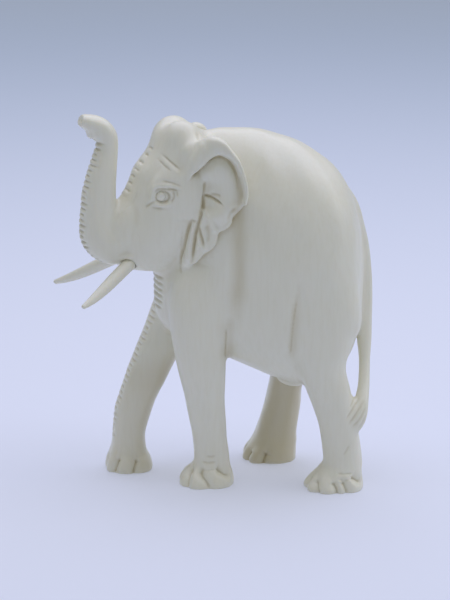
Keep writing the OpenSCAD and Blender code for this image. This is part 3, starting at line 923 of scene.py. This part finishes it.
def mixed(tree, share, first, second):
    # second is a fixed colour; first is a colour or another node's output
    node = tree.nodes.new("ShaderNodeMix")
    node.data_type = "RGBA"
    if isinstance(first, tuple):
        node.inputs[6].default_value = (*first, 1)
    else:
        tree.links.new(first, node.inputs[6])
    node.inputs[7].default_value = (*second, 1)
    tree.links.new(share, node.inputs[0])
    return node.outputs[2]


def woodMaterial(name, paintsShade):
    material = bpy.data.materials.new(name)
    material.use_nodes = True
    tree = material.node_tree
    add, link = tree.nodes.new, tree.links.new
    shader = tree.nodes["Principled BSDF"]
    place = add("ShaderNodeTexCoord").outputs["Object"]
    stretch = add("ShaderNodeMapping")
    stretch.inputs["Scale"].default_value = (1.0, 1.0, wood["fibreStretch"])
    link(place, stretch.inputs["Vector"])
    fibres = noiseOf(tree, wood["fibreScale"], 5.0, stretch.outputs["Vector"])
    fibres.inputs["Roughness"].default_value = 0.6
    clouds = noiseOf(tree, wood["cloudScale"], 3.0, place)
    grained = ranged(tree, fibres.outputs["Fac"], 0.42, 0.72, 0, wood["fibreShare"])
    colour = mixed(tree, grained, wood["light"], wood["grain"])
    mottled = ranged(tree, clouds.outputs["Fac"], 0.35, 0.75, 0, wood["cloudShare"])
    colour = mixed(tree, mottled, colour, wood["grain"])
    if paintsShade:
        # the crease layer mixes painted shade into the wood's colour
        crease = add("ShaderNodeAttribute")
        crease.attribute_name = "crease"
        shadeAmount = ranged(tree, crease.outputs["Fac"], 0.05, 0.9, 0, wood["creaseShadeShare"])
        colour = mixed(tree, shadeAmount, colour, wood["creaseShadeColour"])
    link(colour, shader.inputs["Base Color"])
    gloss = ranged(tree, clouds.outputs["Fac"], 0, 1, wood["roughness"] - 0.06, wood["roughness"] + 0.1)
    link(gloss, shader.inputs["Roughness"])
    bump = add("ShaderNodeBump")
    bump.inputs["Strength"].default_value = wood["bump"]
    bump.inputs["Distance"].default_value = wood["bumpDepth"]
    link(fibres.outputs["Fac"], bump.inputs["Height"])
    link(bump.outputs["Normal"], shader.inputs["Normal"])
    shader.inputs["Subsurface Weight"].default_value = wood["glow"]
    shader.inputs["Subsurface Radius"].default_value = wood["glowColours"]
    shader.inputs["Subsurface Scale"].default_value = wood["glowDepth"]
    shader.inputs["Specular IOR Level"].default_value = wood["specular"]
    return material


body.data.materials.clear()
body.data.materials.append(woodMaterial("paleWood", True))
for inset in insets:
    inset.data.materials.append(woodMaterial(inset.name + "Wood", False))

# Floor, lights and camera
stage = {
    # the far colour is painted shade away from the middle; the glow is painted light given off by the paper
    "nearColour": (0.575, 0.60, 0.70), "farShadeColour": (0.25, 0.32, 0.43), "fadeTo": 1.15, "glow": 0.21,
    "flat": 1.9, "bend": 0.55, "rise": 0.25, "paintedLightColour": (0.84, 0.87, 0.96), "roughness": 0.75,
}


def sweepPiece():
    # round floor whose rim bends up into a low wall
    flat, bend, rise = stage["flat"], stage["bend"], stage["rise"]
    quarter = np.linspace(0, np.pi / 2, 28)
    out = np.concatenate([[0.02, 0.3], flat + bend * np.sin(quarter), [flat + bend]])[:, None]
    up = np.concatenate([[0, 0], bend - bend * np.cos(quarter), [bend + rise]])[:, None]
    angle = fullTurn(160)
    rings = np.stack([out * np.cos(angle), out * np.sin(angle), up + 0 * angle], -1)
    count, sides = rings.shape[:2]
    i, k = np.meshgrid(np.arange(count - 1), np.arange(sides), indexing="ij")
    m = (k + 1) % sides
    faces = np.stack([i * sides + k, (i + 1) * sides + k, (i + 1) * sides + m, i * sides + m], -1).reshape(-1, 4)
    odd = np.arange(1, sides, 2)
    middle = np.stack([odd - 1, odd, (odd + 1) % sides, np.full(sides // 2, count * sides)], -1)
    return pieceOf("sweep", np.vstack([rings.reshape(-1, 3), [(0, 0, 0)]]), np.vstack([faces, middle]))


sweep = sweepPiece()


def sweepMaterial():
    # pale paper whose colour darkens evenly away from the middle: painted shade for the light falling off towards the
    # rim and wall
    material = bpy.data.materials.new("sweepPaper")
    material.use_nodes = True
    tree = material.node_tree
    add, link = tree.nodes.new, tree.links.new
    shader = tree.nodes["Principled BSDF"]
    place, length = add("ShaderNodeTexCoord"), add("ShaderNodeVectorMath")
    length.operation = "LENGTH"
    link(place.outputs["Object"], length.inputs[0])
    far = ranged(tree, length.outputs["Value"], 0, stage["fadeTo"], 0, 1)
    far.node.interpolation_type = "SMOOTHSTEP"
    link(mixed(tree, far, stage["nearColour"], stage["farShadeColour"]), shader.inputs["Base Color"])
    shader.inputs["Roughness"].default_value = stage["roughness"]
    # the paper glows faintly though it is no lamp: painted light that lifts the shade under the figure
    shader.inputs["Emission Color"].default_value = (*stage["paintedLightColour"], 1)
    shader.inputs["Emission Strength"].default_value = stage["glow"]
    shader.inputs["Specular IOR Level"].default_value = 0.2
    return material


sweep.data.materials.append(sweepMaterial())


def softLight(name, place, aim, size, power, colour):
    data = bpy.data.lights.new(name, "AREA")
    data.shape, data.size, data.size_y = "RECTANGLE", size[0], size[1]
    data.energy, data.color = power, colour
    light = bpy.data.objects.new(name, data)
    light.location = place
    light.rotation_euler = (Vector(aim) - Vector(place)).to_track_quat("-Z", "Y").to_euler()
    bpy.context.scene.collection.objects.link(light)


lights = {
    # place, size, power, colour; each looks at the middle of the figure
    "overhead": ((0.1, 0.25, 1.1), (2.0, 1.8), 16.4, (0.70, 0.73, 1.0)),
    "rearFill": ((0.9, -0.1, 0.7), (0.7, 0.7), 1.6, (0.98, 0.98, 1.0)),
    "frontFill": ((-0.9, -0.9, 0.5), (0.8, 0.8), 0.3, (1.0, 0.98, 0.92)),
}
for name, (place, size, power, colour) in lights.items():
    softLight(name, place, (0, 0, 0.06), size, power, colour)

room = {"colour": (0.82, 0.81, 0.66), "strength": 0.37}

world = bpy.data.worlds.new("room")
world.use_nodes = True
world.node_tree.nodes["Background"].inputs["Color"].default_value = (*room["colour"], 1)
world.node_tree.nodes["Background"].inputs["Strength"].default_value = room["strength"]
bpy.context.scene.world = world
bpy.context.scene.view_settings.view_transform = "Standard"

view = {"azimuth": -4.0, "elevation": 14.0, "distance": 0.907, "lens": 158.76, "aim": (0.0, 0.0, 62.05)}


def placeCamera():
    a, e = np.radians(view["azimuth"]), np.radians(view["elevation"])
    back = np.array([np.sin(a) * np.cos(e), -np.cos(a) * np.cos(e), np.sin(e)])
    aim = (np.array(view["aim"]) + figure["centre"]) * mm
    data = bpy.data.cameras.new("camera")
    data.lens = view["lens"]
    data.sensor_width = 36.0
    data.clip_start, data.clip_end = 0.01, 20.0
    camera = bpy.data.objects.new("camera", data)
    camera.location = aim + back * view["distance"]
    camera.rotation_euler = Vector(-back).to_track_quat("-Z", "Y").to_euler()
    bpy.context.scene.collection.objects.link(camera)
    bpy.context.scene.camera = camera


placeCamera()
print("stage: lights and camera set")

bpy.context.view_layer.update()
